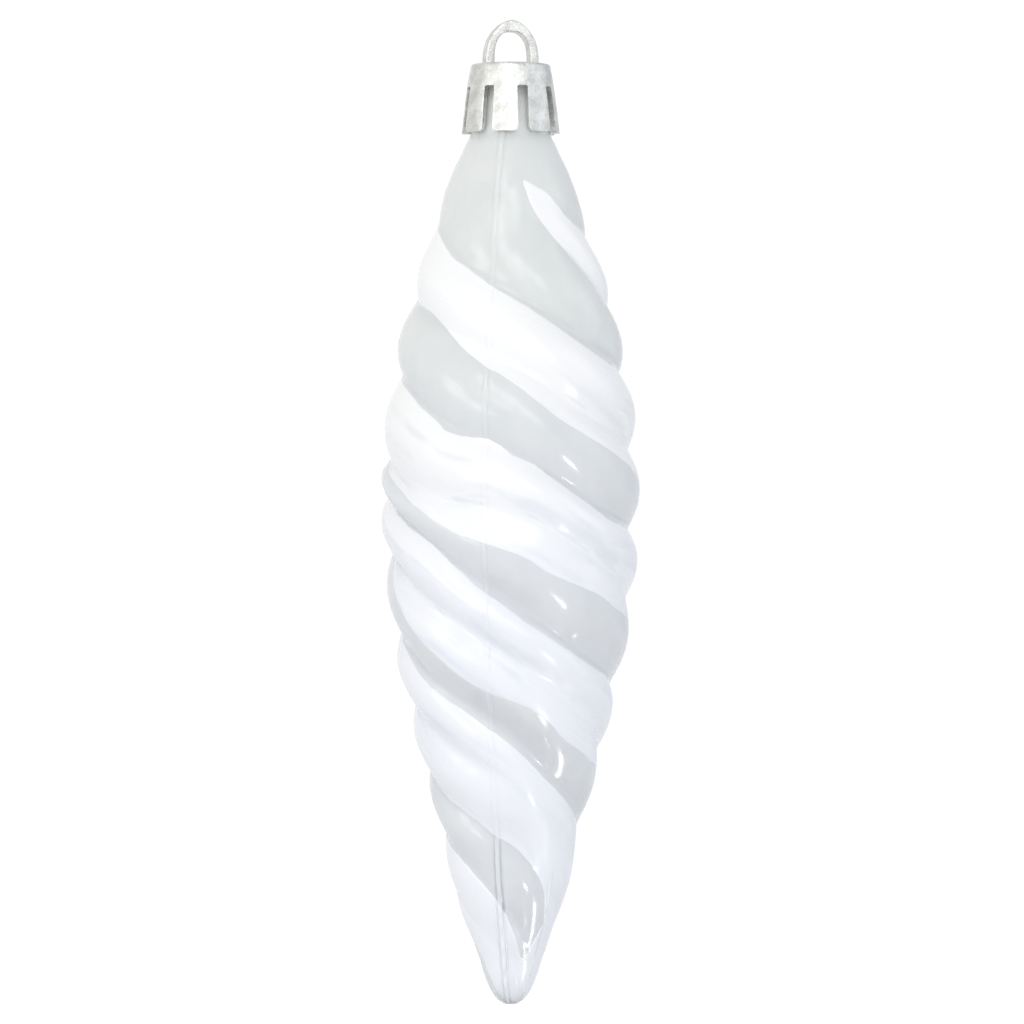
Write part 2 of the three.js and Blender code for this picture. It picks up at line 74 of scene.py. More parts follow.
# Columns of the grooves and band edges: turn, drop.
GROOVE_A = [
    [-90, 12.14], [0, 20.15], [45, 24.29], [90, 28.7], [180, 38.9], [270, 47.3], [292, 49.0],
    [315, 52.2], [336, 55.5], [360, 58.0], [384, 61.9], [405, 65.3], [450, 68.7],
    [540, 75.62], [630, 82.66], [669, 88.73], [702, 93.7], [720, 96.46], [746, 101.43],
    [769, 104.6], [810, 109.43], [900, 117.71], [990, 125.3], [1080, 132.2]]
GROOVE_B = [
    [-180, 5.24], [-90, 13.52], [0, 24.29], [45, 30.36], [90, 38.36], [180, 49.13],
    [270, 59.48], [315, 63.62], [360, 66.65], [405, 72.45], [450, 78.52], [540, 90.8],
    [630, 101.57], [650, 104.0], [667, 105.9], [680, 107.15], [692, 108.6], [707, 110.35],
    [720, 111.6], [732, 113.1], [749, 115.92], [765, 118.4], [810, 123.92], [900, 132.2]]
GROOVE_C = [
    [-180, 21.0], [-135, 23.3], [-90, 26.1], [-62, 28.8], [-45, 30.9], [0, 36.3], [45, 42.5],
    [90, 47.0], [180, 55.48], [270, 63.34], [292, 66.5], [319, 70.5], [334, 73.6],
    [360, 78.7], [389, 83.7], [408, 86.2], [450, 90.1], [540, 101.15], [630, 110.54],
    [662, 112.9], [680, 114.7], [694, 116.7], [707, 119.0], [720, 121.5], [765, 128.4],
    [810, 133.58]]
GROOVE_D = [
    [-180, 26.77], [-90, 36.71], [-45, 40.85], [0, 46.09], [45, 53.13], [90, 57.68],
    [180, 64.58], [270, 71.35], [315, 78.38], [360, 85.84], [405, 92.74], [450, 99.36],
    [540, 108.74], [630, 118.4], [720, 128.06], [810, 134.96]]
GROOVE_FORK = [
    [520, 82.52], [540, 83.9], [630, 92.74], [670, 97.29], [705, 101.43], [727, 103.36],
    [765, 109.57], [810, 115.37], [900, 124.61], [990, 132.2]]
BAND_A_TOP = [
    [11.5, 21.0], [16, 21.15], [25.8, 21.9], [35.8, 23.0], [49.8, 25.7], [64, 27.3],
    [90, 29.12], [180, 39.33], [270, 47.6], [292, 49.4], [310, 52.0], [321, 53.8],
    [328, 55.2], [336, 55.9], [347, 56.2], [353, 56.9], [361, 58.4], [372, 59.9],
    [384, 62.3], [399, 64.8], [414, 67.3], [450, 69.2], [540, 76.31], [630, 83.08],
    [669, 89.98], [687, 92.6], [702, 94.94], [712, 96.46], [733, 100.19], [746, 102.67],
    [769, 105.71], [810, 110.12], [900, 118.68], [960, 124.61]]
BAND_A_FOOT = [
    [11.5, 21.9], [14.7, 23.5], [20.3, 25.7], [29, 28.0], [49, 32.0], [70, 35.6],
    [90, 39.19], [180, 50.09], [262, 59.2], [279, 61.2], [296, 63.0], [313, 65.6],
    [329, 68.2], [346, 70.4], [366, 72.45], [377, 74.52], [391, 76.18], [414, 78.66],
    [424, 80.04], [450, 82.11], [540, 92.46], [630, 101.71], [650, 104.2], [667, 106.1],
    [680, 107.35], [692, 108.75], [707, 110.5], [720, 111.75], [734, 113.5], [746, 115.6],
    [757, 118.5], [762, 120.6], [764.5, 122.4], [766, 128.0], [767.5, 132.0], [771, 133.6],
    [800, 133.84], [960, 133.84]]
BAND_B_TOP = [
    [-168, 21.67], [-130, 23.6], [-90, 26.4], [-62, 29.1], [-47, 31.1], [-35, 32.43],
    [-22, 33.95], [-13, 35.33], [0, 36.98], [14, 38.92], [27, 40.99], [39, 42.92],
    [54, 44.99], [67, 46.23], [90, 47.47], [180, 56.03], [270, 63.45], [292, 66.8],
    [319, 70.65], [334, 74.0], [346, 76.73], [354, 78.25], [370, 81.42], [389, 84.46],
    [408, 86.94], [425, 88.46], [450, 90.53], [540, 101.57], [630, 110.81], [642, 111.8],
    [662, 113.4], [674, 114.7], [684, 116.0], [694, 117.5], [705, 119.3], [715, 121.5],
    [726, 124.2], [733, 126.1], [738, 127.3], [743, 127.3], [754, 125.6], [762, 123.6],
    [766, 122.6]]
BAND_B_FOOT = [
    [-168, 22.22], [-130, 30.08], [-90, 36.85], [-55, 38.92], [-22, 44.99], [0, 48.71],
    [27, 54.51], [55, 58.51], [90, 62.93], [180, 67.76], [270, 71.76], [291, 78.25],
    [316, 85.01], [344, 90.39], [371, 93.01], [398, 97.84], [437, 101.57], [450, 102.81],
    [540, 112.88], [612, 118.6], [630, 121.9], [645, 125.2], [656, 127.5], [668, 130.4],
    [680, 132.5], [700, 133.6], [766, 133.84]]

SEAM = -11.8            # turn of the mould's parting line; a second one is half a turn round
GROOVE_SOFT = 0.06      # rounding of the grooves, as a share of a lobe
LOBE_CENTRE = 0.29      # a lobe is an arc about this share of the ridge radius
LOBE_RADIUS = 1 - LOBE_CENTRE
FILL_SHARE = 0.62       # how much of a groove the paint fills
WALL = 0.95
COAT = 0.045            # the paint's build over the plastic


def curve(points):
    """A monotone curve through (x, y) points, going straight on past both ends."""
    x, y = np.array(points, float).T
    rise_rate = np.diff(y) / np.diff(x)
    tangent = np.empty(len(x))
    tangent[0], tangent[-1] = rise_rate[0], rise_rate[-1]
    for i in range(1, len(x) - 1):
        before, after = rise_rate[i - 1], rise_rate[i]
        tangent[i] = 0 if before * after <= 0 else 2 * before * after / (before + after)

    def at(t):
        t = np.asarray(t, float)
        i = np.clip(np.searchsorted(x, t, side="right") - 1, 0, len(x) - 2)
        width = x[i + 1] - x[i]
        s = (t - x[i]) / width
        s2, s3 = s * s, s * s * s
        value = (y[i] * (2 * s3 - 3 * s2 + 1) + tangent[i] * width * (s3 - 2 * s2 + s)
                 + y[i + 1] * (3 * s2 - 2 * s3) + tangent[i + 1] * width * (s3 - s2))
        value = np.where(t <= x[0], y[0] + tangent[0] * (t - x[0]), value)
        return np.where(t >= x[-1], y[-1] + tangent[-1] * (t - x[-1]), value)

    return at


def rise(start, end, value):
    """A soft step from 0 at start to 1 at end."""
    t = np.clip((np.asarray(value, float) - start) / (end - start), 0, 1)
    return t * t * (3 - 2 * t)


def fall(start, end, value):
    return 1 - rise(start, end, value)


def bell(value, centre, width):
    return np.exp(-((value - centre) / width) ** 2)


ridge = curve(NECK + ENVELOPE)
fork = curve(GROOVE_FORK)
# Columns: groove, turns over which it comes in at the shoulder, turns between which it is filled.
GROOVES = [
    (curve(GROOVE_A), (-10, 40), None),
    (curve(GROOVE_B), (5, 60), (275, 455)),
    (curve(GROOVE_C), (-150, -110), None),
    (curve(GROOVE_D), (-120, -60), (275, 455)),
]


def waves(seed, count, low, high, dims=1):
    """A sum of seeded sine waves, of about unit size, with wavelengths from low to high."""
    rng = np.random.default_rng(seed)
    length = np.exp(rng.uniform(math.log(low), math.log(high), count))
    way = rng.normal(size=(count, dims))
    way /= np.linalg.norm(way, axis=1)[:, None]
    phase = rng.uniform(0, 2 * math.pi, count)
    gain = (length / high) ** 0.5
    gain /= math.sqrt((gain**2).sum() / 2)

    def at(*coords):
        total = 0
        for k in range(count):
            along = sum(w * c for w, c in zip(way[k], coords))
            total = total + gain[k] * np.sin(2 * math.pi / length[k] * along + phase[k])
        return total

    return at


slow_waves = waves(11, count=14, low=7, high=22, dims=3)
fine_waves = waves(12, count=22, low=2.2, high=6, dims=3)


def place(deg, radius, drop):
    """Points at the given turns, radii and drops."""
    a = np.radians(deg)
    return np.stack(
        [radius * np.sin(a), -radius * np.cos(a), -np.asarray(drop, float) + 0 * a], -1)


def lobe(u):
    """Share of the ridge radius at u, where u is 0 in a groove and 0.5 on the ridge."""
    u = np.minimum(np.sqrt(u * u + GROOVE_SOFT**2), 0.5)
    a = (0.5 - u) * math.pi / 2
    return LOBE_CENTRE * np.cos(a) + np.sqrt(LOBE_RADIUS**2 - (LOBE_CENTRE * np.sin(a)) ** 2)


def between(levels, drop):
    """Distance to the nearer of the grooves above and below, as a share of their spacing."""
    above = np.full(drop.shape, -1e9)
    below = np.full(drop.shape, 1e9)
    for level in levels:
        passed = level <= drop
        above = np.where(passed & (level > above), level, above)
        below = np.where(~passed & (level < below), level, below)
    u = (drop - above) / (below - above)
    u = np.minimum(u, 1 - u)
    return np.where((above < -1e8) | (below > 1e8), 0.5, u)


def at_nearest(levels, values, drop):
    """The value that belongs to the level nearest to each drop."""
    found, best = np.zeros(drop.shape), np.full(drop.shape, 1e9)
    for level, value in zip(levels, values):
        gap = np.abs(level - drop)
        found = np.where(gap < best, value, found)
        best = np.minimum(best, gap)
    return found


def lobe_position(deg, drop):
    """(share of the ridge radius, distance from the nearest groove as a share of a lobe)."""
    levels, strengths, fork_levels, fork_weights = [], [], [], []
    for n in range(-2, 6):
        t = deg + 360 * n
        for groove, full, filled in GROOVES:
            strength = rise(full[0], full[1], t)
            if filled:
                start, end = filled
                fill = FILL_SHARE * rise(start, start + 40, t) * fall(end - 35, end, t)
                strength = strength * (1 - fill)
            levels.append(groove(t))
            strengths.append(strength)
        on = (t > 540) & (t < 1080)
        fork_levels.append(np.where(on, fork(t), 1e7 + n))      # far away where it is off
        fork_weights.append(np.where(on, rise(540, 625, t) * fall(655, 740, t), 0.0))
    u = between(levels, drop)
    share = 1 - (1 - lobe(u)) * at_nearest(levels, strengths, drop)
    forked = between(levels + fork_levels, drop)
    weight = at_nearest(fork_levels, fork_weights, drop)
    return share + weight * (lobe(forked) - share), u + weight * (forked - u)


def from_seam(deg, radius):
    """Distance round the body from the nearer parting line."""
    off = (np.asarray(deg) - SEAM + 90) % 180 - 90
    return np.abs(np.radians(off)) * radius


def seam_height(deg, drop, radius):
    """The parting line: a low flat-topped ridge, with a fine dip along each side."""
    s = from_seam(deg, np.maximum(radius, 4.0))
    tall = 0.075 + 0.02 * np.sin(drop * 0.9) + 0.015 * np.sin(drop * 2.3 + 1)
    # taller at the shoulder and near the tip, none on the neck
    tall = tall * (0.7 + 1.0 * fall(17, 30, drop) + 2.1 * rise(108, 122, drop))
    tall = tall * rise(12, 14.5, drop)
    dip = 0.65 * bell(s, 0.5, 0.14) * (0.4 + 0.6 * rise(105, 118, drop))
    return tall * (fall(0.22, 0.38, s) - dip)


def painted_seam_shade(deg, drop):
    """Painted shade along both sides of the parting line, stronger towards the tip."""
    s = from_seam(deg, np.maximum(ridge(drop), 1.5))
    return bell(s, 0.40, 0.13) * (0.10 + 0.90 * rise(103, 114, drop)) * rise(30, 60, drop)


def body_radius(deg, drop, detail=True):
    """Radius of the skin; detail adds the uneven surface and the parting line."""
    deg, drop = np.broadcast_arrays(np.asarray(deg, float), np.asarray(drop, float))
    depth = rise(20.5, 33, drop) * (1 - 0.7 * rise(103, 124, drop)) * fall(123, 132.5, drop)
    share, _ = lobe_position(deg, drop)
    out = ridge(drop) * (1 - depth * (1 - share)) - 0.08 * depth
    if detail:
        x, y, z = np.moveaxis(place(deg, out, drop), -1, 0)
        keep = rise(14, 22, drop) * fall(128, 133, drop)
        out = out + keep * (0.03 * slow_waves(x, y, z) + 0.007 * fine_waves(x, y, z))
        out = out + seam_height(deg, drop, out)
    return out


# ---------------------------------------------------------------- mesh helpers
def new_object(name, data):
    obj = bpy.data.objects.new(name, data)
    bpy.context.scene.collection.objects.link(obj)
    return obj


def register(obj, body, node):
    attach(obj, body)
    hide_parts(node)
    return obj


def make_mesh(name, points, faces, body, material, node, attributes=None):
    """A smooth-shaded object from points in mm; attributes hold one value per point."""
    mesh = bpy.data.meshes.new(name)
    coords = (np.asarray(points, float) * MM).tolist()
    mesh.from_pydata(coords, [], [tuple(int(i) for i in face) for face in faces])
    mesh.validate()
    for key, values in (attributes or {}).items():
        layer = mesh.attributes.new(key, "FLOAT", "POINT")
        layer.data.foreach_set("value", np.asarray(values, np.float32).ravel())
    bm = bmesh.new()
    bm.from_mesh(mesh)
    bmesh.ops.recalc_face_normals(bm, faces=bm.faces)
    bm.to_mesh(mesh)
    bm.free()
    mesh.polygons.foreach_set("use_smooth", [True] * len(mesh.polygons))
    mesh.set_sharp_from_angle(angle=math.radians(52))
    mesh.materials.append(material)
    return register(new_object(name, mesh), body, node)


def apply_modifiers(obj):
    graph = bpy.context.evaluated_depsgraph_get()
    done = bpy.data.meshes.new_from_object(obj.evaluated_get(graph))
    old = obj.data
    obj.modifiers.clear()
    obj.data = done
    bpy.data.meshes.remove(old)


def grid_faces(rows, cols, first=0, wrap=True, flip=False):
    """Quads over rows of points that follow one another from index first."""
    out = []
    for k in range(rows - 1):
        a, b = first + k * cols, first + (k + 1) * cols
        for i in range(cols if wrap else cols - 1):
            j = (i + 1) % cols
            quad = (a + i, b + i, b + j, a + j)
            out.append(quad[::-1] if flip else quad)
    return out


def both_sides(distances):
    """Distances from 0 up, mirrored to run from the negative side to the positive."""
    return np.concatenate([-distances[:0:-1], distances])


# ---------------------------------------------------------------- materials
class Nodes:
    """A small wrapper that makes a node tree read in order."""

    def __init__(self, owner, output="ShaderNodeOutputMaterial"):
        self.owner = owner
        owner.use_nodes = True
        self.tree = owner.node_tree
        self.tree.nodes.clear()
        self.out = self.tree.nodes.new(output)

    def add(self, kind, inputs=None, **settings):
        node = self.tree.nodes.new(kind)
        for key, value in settings.items():
            setattr(node, key, value)
        for key, value in (inputs or {}).items():
            socket = node.inputs[key]
            if isinstance(value, bpy.types.NodeSocket):
                self.tree.links.new(value, socket)
            else:
                socket.default_value = value
        return node

    def math(self, operation, a, b):
        return self.add("ShaderNodeMath", {0: a, 1: b}, operation=operation).outputs[0]

    def plus(self, a, b):
        return self.math("ADD", a, b)

    def times(self, a, b):
        return self.math("MULTIPLY", a, b)

    def attribute(self, name):
        return self.add("ShaderNodeAttribute", attribute_name=name).outputs["Fac"]

    def noise(self, vector, scale=1.0, detail=2.0, rough=0.55, distortion=0.0):
        return self.add("ShaderNodeTexNoise", {
            "Vector": vector, "Scale": scale, "Detail": detail, "Roughness": rough,
            "Distortion": distortion}).outputs[0]

    def ramp(self, value, over, to=(0.0, 1.0)):
        """A soft step: over gives the input's two ends, to the output's."""
        return self.add("ShaderNodeMapRange", {
            "Value": value, "From Min": over[0], "From Max": over[1],
            "To Min": to[0], "To Max": to[1]}, interpolation_type="SMOOTHSTEP").outputs[0]

    def mix(self, share, a, b, blend="MIX"):
        return self.add("ShaderNodeMix", {0: share, 6: a, 7: b},
                        data_type="RGBA", blend_type=blend).outputs[2]

    def bump(self, height, strength, distance):
        return self.add("ShaderNodeBump", {
            "Height": height, "Strength": strength, "Distance": distance}).outputs[0]

    def vector(self, x, y, z):
        return self.add("ShaderNodeCombineXYZ", {0: x, 1: y, 2: z}).outputs[0]

    def split(self, vector):
        return self.add("ShaderNodeSeparateXYZ", {0: vector}).outputs

    def coords(self, kind="Object"):
        return self.add("ShaderNodeTexCoord").outputs[kind]

    def principled(self, inputs):
        return self.add("ShaderNodeBsdfPrincipled", inputs).outputs[0]

    def finish(self, shader):
        self.tree.links.new(shader, self.out.inputs["Surface"])
        return self.owner


def milky_plastic():
    nodes = Nodes(bpy.data.materials.new("milky_plastic"))
    at = nodes.coords()
    cloud = nodes.noise(at, scale=170.0, detail=3.0, rough=0.5)
    drawn = nodes.add("ShaderNodeMapping", {"Vector": at, "Scale": (420.0, 420.0, 60.0)})
    streak = nodes.noise(drawn.outputs[0], detail=3.0, rough=0.6)
    tone = nodes.plus(nodes.times(cloud, 0.65), nodes.times(streak, 0.35))
    # painted cool shade: bluer colours towards the bottom
    low = nodes.ramp(nodes.split(at)[2], over=(-0.030, -0.070))
    # dull is the darker end of the random tone and also the painted shade in the grooves
    dull_and_groove_shade = nodes.mix(low, (0.775, 0.799, 0.785, 1), (0.77, 0.788, 0.807, 1))
    clear = nodes.mix(low, (0.81, 0.828, 0.813, 1), (0.805, 0.821, 0.835, 1))
    base = nodes.mix(nodes.ramp(tone, over=(0.35, 0.65)), dull_and_groove_shade, clear)
    # painted shade: a duller colour in the grooves, and a darker painted shade along both sides
    # of the parting line
    base = nodes.mix(nodes.ramp(nodes.attribute("groove"), over=(0.0, 0.16)), dull_and_groove_shade, base)
    base = nodes.mix(nodes.times(nodes.attribute("seam_shade"), 0.45), base, (0.50, 0.53, 0.57, 1))
    grain = nodes.noise(at, scale=900.0)
    dimples = nodes.noise(at, scale=420.0, rough=0.5)
    return nodes.finish(nodes.principled({
        "Base Color": base,
        "Roughness": nodes.ramp(grain, over=(0.3, 0.7), to=(0.1, 0.17)),
        "IOR": 1.5,
        "Normal": nodes.bump(dimples, strength=0.12, distance=0.00006),
        "Subsurface Weight": 1.0,
        "Subsurface Radius": (1.0, 1.05, 1.0),
        "Subsurface Scale": 0.0009,
        "Specular IOR Level": 0.55,
    }))


def white_paint():
    nodes = Nodes(bpy.data.materials.new("white_paint"))
    at = nodes.coords()
    arc, across, below, edge, band = [
        nodes.attribute(key) for key in ("arc", "across", "below", "edge", "band")]

    def strokes(along_scale, across_scale, seed):
        return nodes.vector(
            nodes.times(arc, along_scale), nodes.times(across, across_scale), seed)

    brush = nodes.noise(strokes(0.05, 0.6, band), detail=2.5, rough=0.5, distortion=0.6)
    bristle = nodes.noise(strokes(0.13, 1.15, band), rough=0.5, distortion=0.35)
    patchy = nodes.noise(strokes(0.10, 0.16, nodes.plus(band, 7.3)), rough=0.5)
    wear = nodes.attribute("worn")
    worn = nodes.times(wear, nodes.ramp(patchy, over=(0.36, 0.58)))
    # the paint thins along the groove inside the band, in broken dashes
    near = nodes.times(
        nodes.ramp(below, over=(-2.4, -0.5)), nodes.ramp(below, over=(1.3, 0.2)))
    dash = nodes.times(nodes.ramp(bristle, over=(0.47, 0.63)), near)
    veil = nodes.times(
        nodes.ramp(brush, over=(0.47, 0.66)), nodes.ramp(across, over=(1.0, 2.6)))
    thin = nodes.math("MAXIMUM", nodes.times(dash, 0.78), nodes.times(veil, 0.75))
    # and along its lower edge
    soft_edge = nodes.times(
        nodes.ramp(edge, over=(1.1, 0.0)), nodes.ramp(bristle, over=(0.38, 0.66)))
    soft_edge = nodes.times(soft_edge, nodes.ramp(wear, over=(-0.4, 0.6), to=(0.0, 0.5)))
    thin = nodes.math("MAXIMUM", nodes.times(thin, worn), soft_edge)
    # painted cool shade: the paint's colours turn greyer and bluer towards the bottom
    low = nodes.ramp(nodes.attribute("drop"), over=(48.0, 88.0))
    full = nodes.mix(low, (0.99, 0.99, 0.99, 1), (0.938, 0.95, 0.99, 1))
    bare = nodes.mix(low, (0.86, 0.88, 0.90, 1), (0.825, 0.85, 0.925, 1))
    base = nodes.mix(thin, full, bare)
    # painted shade along both sides of the parting line, over the paint too
    base = nodes.mix(nodes.times(nodes.attribute("seam_shade"), 0.28), base, (0.52, 0.56, 0.64, 1))
    grain = nodes.noise(at, scale=500.0)
    height = nodes.plus(nodes.times(brush, 0.5), nodes.times(grain, 0.3))
    return nodes.finish(nodes.principled({
        "Base Color": base,
        "Roughness": nodes.ramp(brush, over=(0.3, 0.7), to=(0.2, 0.3)),
        "IOR": 1.48,
        "Normal": nodes.bump(height, strength=0.05, distance=0.00006),
        "Coat Weight": 0.4,
        "Coat Roughness": 0.11,
    }))


def silver_coating():
    nodes = Nodes(bpy.data.materials.new("silver_coating"))
    at = nodes.coords()
    grain = nodes.noise(at, scale=2600.0, detail=3.0, rough=0.7)
    flake = nodes.add("ShaderNodeTexVoronoi", {"Vector": at, "Scale": 3400.0})
    glint = nodes.ramp(flake.outputs["Distance"], over=(0.12, 0.45), to=(0.35, 0.0))
    patch = nodes.noise(at, scale=620.0, detail=3.0, rough=0.6)
    base = nodes.mix(nodes.ramp(patch, over=(0.35, 0.68)),
                     (0.64, 0.64, 0.61, 1), (0.82, 0.82, 0.785, 1))
    base = nodes.mix(glint, base, (0.90, 0.90, 0.87, 1))
    height = nodes.plus(grain, nodes.times(patch, 0.8))
    return nodes.finish(nodes.principled({
        "Base Color": base,
        "Metallic": 0.92,
        "Roughness": nodes.ramp(grain, over=(0.3, 0.7), to=(0.24, 0.5)),
        "Normal": nodes.bump(height, strength=0.55, distance=0.00012),
    }))


plastic, paint, silver = milky_plastic(), white_paint(), silver_coating()

# ---------------------------------------------------------------- hollow body
# distances of the mesh lines from a parting line, and how many more lie between the two
SHELL_LINES = np.array([0, 0.11, 0.19, 0.24, 0.28, 0.32, 0.36, 0.42, 0.55, 0.8, 1.15, 1.6])
PLAIN_LINES = 88
SHELL_DROPS = np.concatenate([
    np.linspace(NECK_TOP, 8.2, 12)[:-1], np.linspace(8.2, 14.0, 15)[:-1],
    np.arange(14.0, 130.6, 0.29),
    [130.8, 131.05, 131.3, 131.55, 131.8, 132.05, 132.3, 132.52, 132.72, 132.9, 133.07, 133.22,
     133.36, 133.48, 133.59, 133.69, 133.78, 133.86, 133.93, 133.99, 134.04, 134.08, 134.11]])
# a shallow dimple in the tip with a little nib in it; columns: radius, drop
DIMPLE = [(0.34, 134.12), (0.27, 134.0), (0.17, 133.97), (0.12, 134.07)]
NIB_DROP = 134.09
INNER_DROPS = np.concatenate(
    [[NECK_TOP, 6.9, 7.6], np.linspace(8.4, 14, 8), np.arange(14.8, 127.6, 0.9)])
# end of the hollow; columns: drop, scale of the ring before
INNER_END = [(128.0, 0.62), (128.3, 0.25)]
INNER_END_DROP = 128.36


def shell_turns(radius):
    radius = max(radius, 4.0)
    reach = math.degrees(SHELL_LINES[-1] / radius)
    rest = np.linspace(reach, 180 - reach, PLAIN_LINES + 2)[1:-1]
    half = np.concatenate([np.degrees(both_sides(SHELL_LINES) / radius), rest])
    return SEAM + np.concatenate([half, half + 180])


def shell():
    outside, groove, seam_shades = [], [], []
    for d in SHELL_DROPS:
        deg = shell_turns(float(ridge(d)))
        drop = np.full(len(deg), d)
        if d > END_DROP:      # the rounded end, closing on the axis
            s = (d - END_DROP) / (TIP - END_DROP)
            r = np.full(len(deg), END_RADIUS * math.sqrt(max(0.0, 1 - s * s)))
        else:
            r = body_radius(deg, d)
        outside.append(place(deg, r, drop))
        seam_shades.append(painted_seam_shade(deg, drop))
        # groove: nearness to a groove, the mask for the plastic's painted shade in the grooves
        grooved = rise(16.5, 29, d) * fall(118, 131, d) > 0.3
        groove.append(np.where(grooved, lobe_position(deg, drop)[1], 0.5))
    cols = len(deg)
    faces = grid_faces(len(SHELL_DROPS), cols)
    base = len(SHELL_DROPS) * cols
    # the dimple and the nib in it take the full painted seam shade
    for r, d in DIMPLE:
        outside.append(place(shell_turns(r), np.full(cols, r), np.full(cols, d)))
        groove.append(np.full(cols, 0.5))
        seam_shades.append(np.full(cols, 1.0))
    faces += grid_faces(len(DIMPLE) + 1, cols, first=base - cols)
    tip = base + len(DIMPLE) * cols

    inside = []
    for d in INNER_DROPS:
        deg = shell_turns(float(ridge(d)))
        wall = WALL if d < 15 else WALL + 0.35 * float(rise(118, 127, d)) + 0.1
        r = np.maximum(body_radius(deg, d, detail=False) - wall, 0.45)
        inside.append(place(deg, r, np.full(cols, d)))
    for d, scale in INNER_END:
        inside.append(inside[-1] * [scale, scale, 0] + [0, 0, -d])
    points = np.concatenate(
        outside + [[[0, 0, -NIB_DROP]]] + inside + [[[0, 0, -INNER_END_DROP]]])
    first = tip + 1
    for i in range(cols):
        j = (i + 1) % cols
        faces.append((tip - cols + i, tip, tip - cols + j))
        faces.append((i, j, first + j, first + i))      # rim of the mouth
    faces += grid_faces(len(inside), cols, first=first, flip=True)
    end = first + len(inside) * cols
    for i in range(cols):
        faces.append((end - cols + (i + 1) % cols, end, end - cols + i))
    inner_count = len(inside) * cols + 1
    data = {
        "groove": np.concatenate(groove + [np.full(1 + inner_count, 0.5)]),
        "seam_shade": np.concatenate(seam_shades + [[1.0], np.zeros(inner_count)]),
    }
    return make_mesh("icicle_body", points, faces, "icicle", plastic,
                     "icicle_shell", data)


# ---------------------------------------------------------------- paint bands
BAND_STEP = 1.5         # degrees between mesh rows
BAND_COLS = 34
BAND_LINES = np.array([0, 0.16, 0.22, 0.26, 0.30, 0.34, 0.38, 0.46, 0.62])


def band_turns(middle, start, stop):
    """Turns of the mesh rows, finer where the band crosses a parting line."""
    turns = list(np.arange(start, stop + 1e-6, BAND_STEP))
    for k in range(-2, 7):
        t = SEAM + 180 * k
        if start + 8 < t < stop - 8:
            near = t + np.degrees(both_sides(BAND_LINES) / max(float(ridge(middle(t))), 4.0))
            turns = [v for v in turns if not near[0] - 0.4 < v < near[-1] + 0.4] + list(near)
    return np.array(sorted(turns))


def band_edges(top, foot, turns, arc, start, stop, seed, blunt_end):
    """Drops of the crisp upper edge and the ragged lower one."""
    crisp = waves(seed, count=10, low=1.5, high=7)
    ragged = waves(seed + 1, count=14, low=3, high=16)
    torn = waves(seed + 2, count=12, low=1.1, high=3.2)
    swell = waves(seed + 3, count=5, low=25, high=60)
    upper = top(turns) + 0.035 * crisp(arc)
    lower = foot(turns)
    loose = 0.25 + 0.75 * np.clip(0.5 + 0.5 * swell(arc), 0, 1)
    rough = 0.2 + 0.15 * rise(50, 64, lower) * fall(104, 114, lower)
    rough = rough * fall(118, 122, lower)
    rough = rough * (1 - 0.85 * rise(258, 272, turns) * fall(318, 338, turns))
    lower = lower + loose * rough * (0.34 * ragged(arc) + 0.10 * torn(arc))
    # narrow it at the start, and at the end unless that is blunt
    taper = 0.4 + 0.6 * rise(0, 5, turns - start)
    if not blunt_end:
        taper = taper * rise(0, 40, stop - turns)
    middle = (upper + lower) / 2
    half = np.maximum((lower - upper) / 2, 0.12) * (0.06 + 0.94 * np.sqrt(taper))
    opening = turns < start + 30
    upper = np.where(opening, upper, middle - half)
    lower = np.where(opening, upper + 2 * half, middle + half)
    return upper, lower


